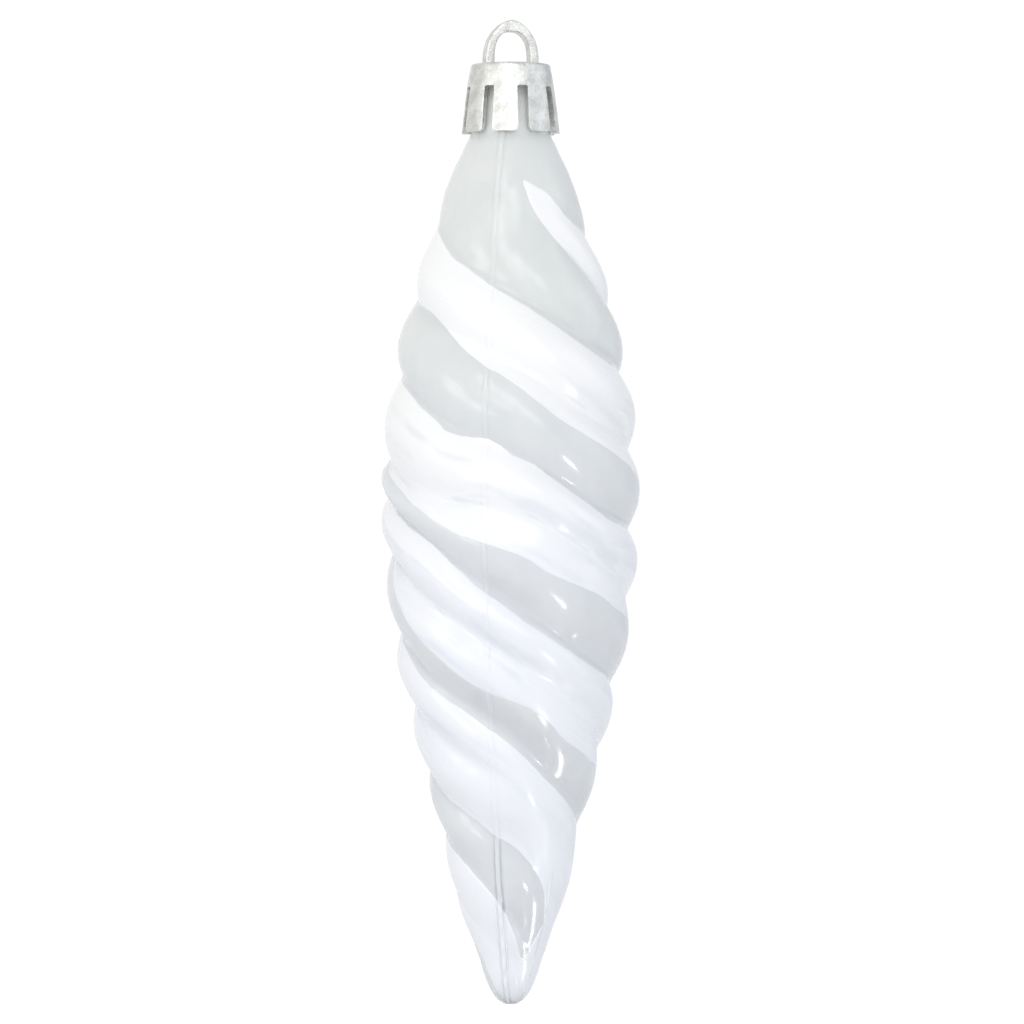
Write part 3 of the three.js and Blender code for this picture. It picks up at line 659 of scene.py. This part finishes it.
def paint_band(name, node, top_points, foot_points, inner_groove, stop, seed, blunt_end=False):
    top, foot = curve(top_points), curve(foot_points)
    start = top_points[0][0]

    def middle(t):
        return (top(t) + foot(t)) / 2

    turns = band_turns(middle, start, stop)
    arc_steps = np.radians(np.diff(turns)) * ridge(middle(turns[:-1])) * 1.2
    arc = np.concatenate([[0], np.cumsum(arc_steps)])
    upper, lower = band_edges(top, foot, turns, arc, start, stop, seed, blunt_end)
    rows, n = len(turns), BAND_COLS
    # share of the width at each column, closer together towards both edges
    s = np.linspace(0, 1, n)
    s = 0.5 - 0.5 * np.cos(math.pi * (0.15 + 0.7 * s))
    s = (s - s[0]) / (s[-1] - s[0])
    drop = upper[:, None] + (lower - upper)[:, None] * s[None, :]
    deg = np.broadcast_to(turns[:, None], drop.shape)
    skin = body_radius(deg, drop)
    down, up = drop - upper[:, None], lower[:, None] - drop
    # a small lip under the upper edge, a thin lower edge, and both borders sunk in the skin
    cover = np.minimum(rise(-0.02, 0.28, down), rise(-0.05, 1.3, up) * 0.75 + 0.25)
    build = COAT * cover + 0.018 * bell(down, 0.35, 0.22) - 0.004
    build = np.where((down < 1e-9) | (up < 1e-9), -0.014, build)
    over = place(deg, skin + build, drop)
    under = place(deg, np.maximum(skin - 0.16, 0.2), drop)
    points = np.concatenate([over.reshape(-1, 3), under.reshape(-1, 3)])
    off = rows * n
    faces = grid_faces(rows, n, wrap=False)
    faces += grid_faces(rows, n, first=off, wrap=False, flip=True)
    for k in range(rows - 1):
        a, b = k * n, (k + 1) * n
        faces.append((a, off + a, off + b, b))
        faces.append((b + n - 1, off + b + n - 1, off + a + n - 1, a + n - 1))
    for i in range(n - 1):
        faces.append((i, i + 1, off + i + 1, off + i))
        e = (rows - 1) * n + i
        faces.append((e + 1, e, off + e, off + e + 1))
    data = {
        "arc": np.broadcast_to(arc[:, None], drop.shape),
        "across": down * 0.8,
        "below": drop - curve(inner_groove)(deg),
        "edge": np.minimum(up, 9.0),
        "band": np.full(drop.shape, float(seed)),
        "drop": drop,
        "seam_shade": painted_seam_shade(deg, drop),
        "worn": rise(41, 54, drop) * (1 - 0.5 * rise(90, 104, drop)),
    }
    data = {key: np.concatenate([v.ravel(), v.ravel()]) for key, v in data.items()}
    band = make_mesh(name, points, faces, "icicle", paint, node, data)
    # light goes through the thin paint into the plastic under it
    band.visible_shadow = band.visible_diffuse = False
    return band


# ---------------------------------------------------------------- crown cap
CAP_TOP, CAP_SHOULDER, SLOT_TOP, CAP_FOOT = 4.5, 5.2, 7.73, 14.05     # drops
cap_radius = curve([[CAP_TOP, 5.45], [CAP_SHOULDER, 5.58], [SLOT_TOP, 6.0], [10.6, 6.38],
                    [CAP_FOOT, 6.77]])
CAP_WALL = 0.9
SLOT_PHASE, SLOT_HALF = 16.1, 0.75      # turn of the first slot, half a slot's width
SLOT_ROUND = 0.32                       # height of a slot's rounded top
FOOT_ROUND, FOOT_FLARE = 1.0, 0.6       # height and width of a finger's rounded corners
FINGER_BENDS = [0.0, 0.02, -0.03, 0.0, 0.03, -0.02, 0.02, -0.01]     # outwards, at the foot
FINGERS, FINGER_COLS = len(FINGER_BENDS), 17
FINGER_PITCH = 360 / FINGERS
CAP_DROPS = np.concatenate([
    [CAP_SHOULDER, 5.5, 6.1, 6.7, 7.2],
    SLOT_TOP + np.array([-0.25, 0, 0.015, 0.05, 0.11, 0.2, 0.32, 0.5]),
    np.linspace(8.6, 12.9, 12),
    CAP_FOOT - np.array([1.0, 0.8, 0.6, 0.42, 0.28, 0.17, 0.08, 0.02, 0.0])])
# rings that close the top, outside and inside; columns: radius, drop
SHOULDER = [(5.54, 4.9), (5.46, 4.7), (5.34, 4.57), (5.18, 4.51), (5.0, CAP_TOP),
            (3.2, CAP_TOP), (1.6, CAP_TOP)]
CEILING = [(4.5, 5.48), (4.2, 5.4), (3.0, 5.4), (1.5, 5.4)]

LOOP_TURN, LOOP_HALF = 14.0, 1.15       # turn of the loop about Z, half its depth
FOOT_IN, FOOT_OUT = 2.5, 3.78           # inner and outer faces of the feet, from the axis


def slot_half(d):
    """Half the gap between two fingers at drop d."""
    if d <= SLOT_TOP:
        return 0.0
    half = SLOT_HALF
    if d < SLOT_TOP + SLOT_ROUND:
        s = 1 - (d - SLOT_TOP) / SLOT_ROUND
        half *= (1 - s**4) ** 0.25
    if d > CAP_FOOT - FOOT_ROUND:
        s = d - (CAP_FOOT - FOOT_ROUND)
        half += FOOT_FLARE * (1 - math.sqrt(max(0.0, 1 - s * s)))
    return half


def finger_points(d, radius):
    """One row of points across each finger."""
    out = []
    for f, bend in enumerate(FINGER_BENDS):
        middle = SLOT_PHASE + FINGER_PITCH / 2 + FINGER_PITCH * f
        reach = FINGER_PITCH / 2 - math.degrees(slot_half(d) / radius)
        a = np.linspace(-reach, reach, FINGER_COLS)
        bent = np.full(FINGER_COLS, radius) + bend * float(rise(SLOT_TOP, CAP_FOOT, d))
        out.append(place(middle + a, bent, np.full(FINGER_COLS, d)))
    return out


def add_fingers(bm):
    def skin(inset):
        return [[[bm.verts.new(p) for p in finger]
                 for finger in finger_points(d, float(cap_radius(d)) - inset)]
                for d in CAP_DROPS]

    outer, inner = skin(0.0), skin(CAP_WALL)
    slot_row = int(np.argmin(np.abs(CAP_DROPS - SLOT_TOP)))
    for f in range(FINGERS):
        for k in range(len(CAP_DROPS) - 1):
            out, out_next = outer[k][f], outer[k + 1][f]
            ins, ins_next = inner[k][f], inner[k + 1][f]
            for i in range(FINGER_COLS - 1):
                bm.faces.new((out[i], out_next[i], out_next[i + 1], out[i + 1]))
                bm.faces.new((ins[i + 1], ins_next[i + 1], ins_next[i], ins[i]))
            if k >= slot_row:
                bm.faces.new((out[0], ins[0], ins_next[0], out_next[0]))
                bm.faces.new((out_next[-1], ins_next[-1], ins[-1], out[-1]))
        out, ins = outer[-1][f], inner[-1][f]
        for i in range(FINGER_COLS - 1):
            bm.faces.new((out[i], ins[i], ins[i + 1], out[i + 1]))
    bmesh.ops.remove_doubles(bm, verts=bm.verts, dist=1e-5)


def add_cap_top(bm):
    """The closed top, with a rounded shoulder outside and a ceiling inside."""
    spaces = FINGER_COLS - 1
    count = FINGERS * spaces
    turns = [math.radians(SLOT_PHASE + FINGER_PITCH * f + FINGER_PITCH * i / spaces)
             for f in range(FINGERS) for i in range(spaces)]

    def ring(r, d):
        return [(r * math.sin(t), -r * math.cos(t), -d) for t in turns]

    def edge_ring(inset):
        level = [v for v in bm.verts if abs(v.co.z + CAP_SHOULDER) < 1e-3]
        radius = float(cap_radius(CAP_SHOULDER)) - inset
        return [min(level, key=lambda v: (v.co - Vector(p)).length)
                for p in ring(radius, CAP_SHOULDER)]

    edges = edge_ring(0.0), edge_ring(CAP_WALL)
    for previous, steps, flip in ((edges[0], SHOULDER, False), (edges[1], CEILING, True)):
        for r, d in steps:
            row = [bm.verts.new(p) for p in ring(r, d)]
            for i in range(count):
                j = (i + 1) % count
                quad = (row[i], previous[i], previous[j], row[j])
                bm.faces.new(quad[::-1] if flip else quad)
            previous = row
        centre = bm.verts.new((0, 0, previous[0].co.z))
        for i in range(count):
            triangle = (centre, previous[i], previous[(i + 1) % count])
            bm.faces.new(triangle[::-1] if flip else triangle)


def crown():
    bm = bmesh.new()
    add_fingers(bm)
    add_cap_top(bm)
    bmesh.ops.recalc_face_normals(bm, faces=bm.faces)
    for v in bm.verts:
        v.co *= MM
    mesh = bpy.data.meshes.new("crown")
    bm.to_mesh(mesh)
    bm.free()
    mesh.polygons.foreach_set("use_smooth", [True] * len(mesh.polygons))
    obj = new_object("crown", mesh)
    bevel = obj.modifiers.new("edge", "BEVEL")
    bevel.width, bevel.segments = 0.00013, 3
    bevel.limit_method, bevel.angle_limit = "ANGLE", math.radians(50)
    apply_modifiers(obj)
    for side in (-1, 1):        # openings for the loop's feet
        cutter = foot_cutter(side)
        cut = obj.modifiers.new("opening", "BOOLEAN")
        cut.operation, cut.solver, cut.object = "DIFFERENCE", "EXACT", cutter
        apply_modifiers(obj)
        bpy.data.objects.remove(cutter)
    obj.data.materials.clear()      # leaves silver as the only slot
    obj.data.materials.append(silver)
    return register(obj, "hanger", "crown_cap")


def rounded_rectangle(half_x, half_y, corner, flat_points=0):
    """Outline with five points to a corner and flat_points along each side."""
    arcs = []
    for n, (cx, cy) in enumerate(((1, 1), (-1, 1), (-1, -1), (1, -1))):
        angles = [math.radians(90 * n + 22.5 * k) for k in range(5)]
        arcs.append([(cx * (half_x - corner) + corner * math.cos(a),
                      cy * (half_y - corner) + corner * math.sin(a)) for a in angles])
    ring = []
    for arc, following in zip(arcs, arcs[1:] + arcs[:1]):
        ring += arc
        (x, y), (next_x, next_y) = arc[-1], following[0]
        for k in range(1, flat_points + 1):
            share = k / (flat_points + 1)
            ring.append((x + (next_x - x) * share, y + (next_y - y) * share))
    return ring


def foot_cutter(side):
    """A rounded upright block, a little larger than the loop's foot."""
    gap = 0.13
    centre = side * (FOOT_IN + FOOT_OUT) / 2
    ring = rounded_rectangle((FOOT_OUT - FOOT_IN) / 2 + gap, LOOP_HALF + gap, corner=0.22)
    turn = Matrix.Rotation(math.radians(LOOP_TURN), 4, "Z")
    points = [turn @ Vector((x + centre, y, z)) * MM for z in (-6.4, -3.0) for x, y in ring]
    n = len(ring)
    faces = [tuple(range(n))[::-1], tuple(range(n, 2 * n))]
    faces += [(i, (i + 1) % n, n + (i + 1) % n, n + i) for i in range(n)]
    mesh = bpy.data.meshes.new("cutter")
    mesh.from_pydata([tuple(p) for p in points], [], faces)
    return new_object("cutter", mesh)


# ---------------------------------------------------------------- hanging loop
# Right halves of the loop's outlines, from the middle of the bow down; columns: x, z.
LOOP_OUTER = [[0, 1.62], [0.94, 1.36], [1.84, 0.76], [2.5, 0.06], [2.97, -0.62], [3.36, -1.38],
              [3.62, -2.4], [3.75, -3.4], [FOOT_OUT, -4.3]]
LOOP_INNER = [[0, 0.0], [0.6, -0.05], [1.12, -0.24], [1.6, -0.62], [1.98, -1.1], [2.25, -1.7],
              [2.42, -2.5], [FOOT_IN, -3.5], [FOOT_IN, -4.3]]
LOOP_POINTS = 73
# Straight feet with a little barb outside; columns: drop, shift outwards of outer and inner face.
FEET = [(4.7, 0, 0), (5.2, 0, 0), (5.62, 0, 0), (5.74, 0.2, 0), (5.82, 0.28, 0), (5.9, 0.26, 0),
        (6.0, 0.12, 0), (6.1, -0.18, 0.12)]


def loop_line(points, face, shifts):
    """An even line over the whole loop, from the left foot to the right one."""
    p = np.array(points, float)
    p = np.concatenate([p[:0:-1] * [-1, 1], p])
    s = np.concatenate([[0], np.cumsum(np.linalg.norm(np.diff(p, axis=0), axis=1))])
    s /= s[-1]
    t = np.linspace(0, 1, LOOP_POINTS)
    bow = [curve(list(zip(s, p[:, axis])))(t) for axis in (0, 1)]
    right = [[face + shift, -foot[0]] for foot, shift in zip(FEET, shifts)]
    left = [[-x, z] for x, z in right[::-1]]
    return np.array(left + np.stack(bow, 1).tolist() + right)


def hanging_loop():
    outer = loop_line(LOOP_OUTER, FOOT_OUT, [foot[1] for foot in FEET])
    inner = loop_line(LOOP_INNER, FOOT_IN, [foot[2] for foot in FEET])
    turn = np.radians(LOOP_TURN)
    points = []
    for a, b in zip(outer, inner):
        middle, half = (a + b) / 2, (a - b) / 2
        width = np.linalg.norm(half)
        ring = rounded_rectangle(width, LOOP_HALF, corner=0.24, flat_points=2)
        for u, v in ring:
            x, z = middle + half / width * u
            points.append((x * math.cos(turn) - v * math.sin(turn),
                           x * math.sin(turn) + v * math.cos(turn), z))
    rows, cols = len(outer), len(ring)
    faces = grid_faces(rows, cols)
    faces += [tuple(range(cols)), tuple(range((rows - 1) * cols, rows * cols))[::-1]]
    return make_mesh("loop", points, faces, "hanger", silver, "hanging_loop")


shell()
paint_band("white_band_upper", "white_band_a", BAND_A_TOP, BAND_A_FOOT, GROOVE_B,
           stop=955, seed=31)
paint_band("white_band_lower", "white_band_b", BAND_B_TOP, BAND_B_FOOT, GROOVE_D,
           stop=765.5, seed=47, blunt_end=True)
crown()
hanging_loop()

# ---------------------------------------------------------------- stage, in metres
FLOOR_SEGMENTS = 96
# Columns: radius, z.
FLOOR_RINGS = [(0.7, -0.8), (1.4, -0.8), (2.0, -0.8), (2.5, -0.76), (2.85, -0.66), (3.0, -0.55)]
BACKDROP = 1.05         # brightness of floor and world as the camera sees them


def pale_floor():
    nodes = Nodes(bpy.data.materials.new("pale_floor"))
    seen = nodes.add("ShaderNodeLightPath").outputs["Is Camera Ray"]
    tone = nodes.mix(nodes.noise(nodes.coords(), scale=6.0),
                     (0.90, 0.91, 0.92, 1), (0.93, 0.93, 0.93, 1))
    # for the light that bounces off it the floor also glows faintly blue, a soft fill from below
    matt = nodes.principled({
        "Base Color": tone, "Roughness": 0.9, "Specular IOR Level": 0.1,
        "Emission Color": (0.92, 0.96, 1.0, 1), "Emission Strength": 0.2})
    glow = nodes.add("ShaderNodeEmission", {"Color": (1, 1, 1, 1), "Strength": BACKDROP})
    mixed = nodes.add("ShaderNodeMixShader", {0: seen, 1: matt, 2: glow.outputs[0]})
    return nodes.finish(mixed.outputs[0])


def floor():
    """A pale floor that sweeps up into a low rim all round."""
    turns = [2 * math.pi * i / FLOOR_SEGMENTS for i in range(FLOOR_SEGMENTS)]
    points = [(r * math.cos(a), r * math.sin(a), z) for r, z in FLOOR_RINGS for a in turns]
    faces = grid_faces(len(FLOOR_RINGS), FLOOR_SEGMENTS)
    # each quad listed from its inner edge, turning upwards
    faces = [(a, d, c, b) for a, b, c, d in faces]
    faces.append(tuple(range(FLOOR_SEGMENTS)))
    mesh = bpy.data.meshes.new("floor")
    mesh.from_pydata(points, [], faces)
    mesh.polygons.foreach_set("use_smooth", [True] * len(mesh.polygons))
    mesh.materials.append(pale_floor())
    new_object("floor", mesh)


# Tints of the world's light; columns: axis, span of direction over which it comes in, colour.
TINTS = [
    (0, (-0.1, 0.95), (0.66, 0.69, 0.75, 1)),       # right
    (0, (-0.25, -0.95), (0.84, 0.84, 0.84, 1)),     # left
    (2, (0.45, 0.95), (0.88, 0.88, 0.88, 1)),       # overhead
]
# Large soft boxes, seen in reflections only, so that they don't model the form with shade.
# Columns: azimuth, elevation and reach in degrees, strength.
SOFT_BOXES = [
    (-17, 40, 11, 2.6), (5, 31, 13, 2.5), (21, 16, 14, 2.3), (-9, 18, 15, 1.7),
    (-59, 11, 16, 2.4), (-37, -8, 16, 3.0), (-25, -24, 16, 3.0), (84, 20, 28, 0.75)]


def direction(azimuth, elevation):
    a, e = math.radians(azimuth), math.radians(elevation)
    return math.sin(a) * math.cos(e), -math.cos(a) * math.cos(e), math.sin(e)


def world():
    studio = bpy.data.worlds.new("studio")
    bpy.context.scene.world = studio
    nodes = Nodes(studio, "ShaderNodeOutputWorld")
    at = nodes.coords("Generated")
    axes = nodes.split(at)
    path = nodes.add("ShaderNodeLightPath").outputs
    sky = nodes.mix(nodes.ramp(axes[2], over=(-0.75, 0.55)),
                    (0.95, 0.965, 1.01, 1), (0.97, 0.97, 0.965, 1))
    for axis, span, colour in TINTS:
        sky = nodes.mix(nodes.ramp(axes[axis], over=span), sky, colour, blend="MULTIPLY")
    spots = []
    for azimuth, elevation, reach, strength in SOFT_BOXES:
        towards = nodes.add("ShaderNodeVectorMath", {0: at, 1: direction(azimuth, elevation)},
                            operation="DOT_PRODUCT").outputs["Value"]
        span = math.cos(math.radians(reach)), math.cos(math.radians(reach / 4))
        spots.append(nodes.ramp(towards, over=span, to=(0.0, strength)))
    total = spots[0]
    for spot in spots[1:]:
        total = nodes.plus(total, spot)
    total = nodes.times(total, path["Is Glossy Ray"])

    def background(inputs):
        return nodes.add("ShaderNodeBackground", inputs).outputs[0]

    lights = nodes.add("ShaderNodeAddShader", {
        0: background({"Color": sky}), 1: background({"Strength": total})}).outputs[0]
    plain = background({"Color": (1, 1, 1, 1), "Strength": BACKDROP})
    mixed = nodes.add("ShaderNodeMixShader", {0: path["Is Camera Ray"], 1: lights, 2: plain})
    nodes.finish(mixed.outputs[0])


MIDDLE = Vector((0, 0, -0.066))
TIP_LAMP_SHIFT = Vector((0, 0, -0.059))
# Lamps that only glint; columns: name, azimuth, elevation, distance, width, height, power.
GLINTS = [
    ("lamp_low_right", 38, -31, 0.8, 0.10, 0.05, 0.36),
    ("lamp_under", 36, -51, 0.75, 0.055, 0.015, 0.08),
    ("lamp_small", 48, -19, 0.8, 0.03, 0.02, 0.012),
    ("lamp_tip", 61, -33.5, 0.1, 0.008, 0.023, 0.014),
]


def area(name, azimuth, elevation, distance, width, height, power, colour=(1, 1, 1)):
    """A rectangular lamp aimed at the middle of the ornament."""
    data = bpy.data.lights.new(name, "AREA")
    data.shape = "RECTANGLE"
    data.size, data.size_y, data.energy, data.color = width, height, power, colour
    obj = new_object(name, data)
    way = Vector(direction(azimuth, elevation))
    obj.location = MIDDLE + way * distance
    obj.rotation_mode = "QUATERNION"
    obj.rotation_quaternion = (-way).to_track_quat("-Z", "Y")
    obj.visible_camera = False
    return obj


def lamps():
    soft_box = area("soft_box", azimuth=-6, elevation=4, distance=1.0, width=0.5, height=0.5,
                    power=1.85, colour=(1.0, 1.0, 0.99))
    soft_box.visible_glossy = False
    for row in GLINTS:
        lamp = area(*row)
        lamp.visible_diffuse = False
    lamp.location += TIP_LAMP_SHIFT     # the last one, beside the tip


def camera():
    data = bpy.data.cameras.new("camera")
    data.sensor_width, data.lens = 36.0, 187.5
    data.clip_start, data.clip_end = 0.05, 20
    view = new_object("camera", data)
    view.location = (0.0002, -0.736, -0.06624)
    view.rotation_euler = (math.radians(90), 0, 0)
    bpy.context.scene.camera = view


floor()
world()
lamps()
camera()
bpy.context.scene.view_settings.view_transform = "Standard"
bpy.context.scene.view_settings.look = "None"
